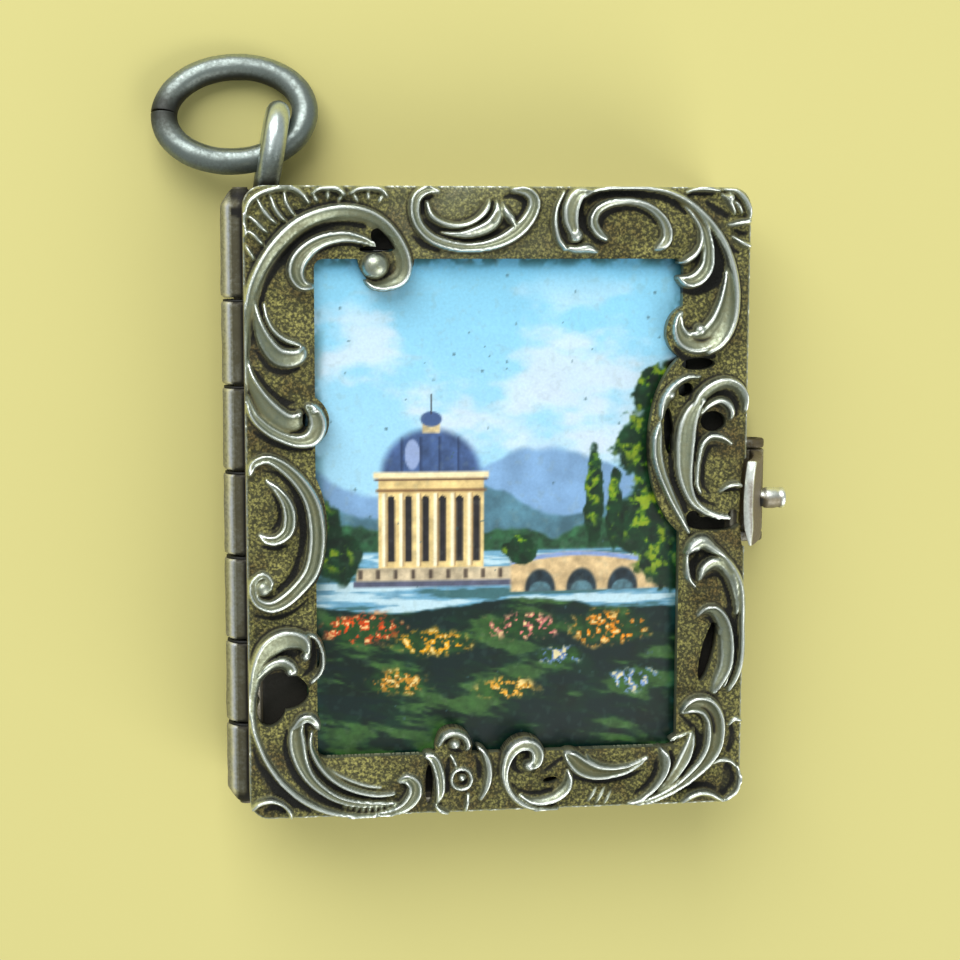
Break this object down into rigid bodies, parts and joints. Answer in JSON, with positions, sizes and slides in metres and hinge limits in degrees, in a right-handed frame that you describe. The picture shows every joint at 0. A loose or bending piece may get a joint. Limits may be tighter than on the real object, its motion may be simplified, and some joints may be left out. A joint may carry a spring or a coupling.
{
  "type": "book locket",
  "caption": "Small silver locket in the form of a book: hinged tray covers, a domed enamel plaque under a pierced scroll frame, a hasp on the fore edge and a jump ring on a bail loop.",
  "frame": {"origin": "middle of the back cover's outer face, on which the locket lies", "axes": "+X from the spine to the fore edge, +Y along the spine towards the jump ring, +Z out of the front cover"},
  "size_m": [0.0255, 0.0302, 0.0056],
  "materials": {
    "silver": "worn silver with brown and olive tarnish",
    "aged_silver": "cast silver, bright on the scrolls and dark in the ground",
    "enamel": "glossy painted enamel"
  },
  "bodies": {
    "back": {"back_cover": "silver", "hinge_pin": "aged_silver", "hasp_pin": "aged_silver", "jump_ring": "silver"},
    "front": {"front_cover": "silver", "scroll_frame": "aged_silver", "enamel_plaque": "enamel"},
    "hasp": {"hasp": "silver"}
  },
  "joints": [
    {"name": "cover_hinge", "type": "hinge", "parent": "back", "child": "front", "pos_m": [-0.01005, 0, 0.0025], "axis": [0, -1, 0], "range_deg": [0, 180]},
    {"name": "hasp_hinge", "type": "hinge", "parent": "back", "child": "hasp", "pos_m": [0.01135, 0, 0.0009], "axis": [0, 1, 0], "range_deg": [0, 90]}
  ]
}
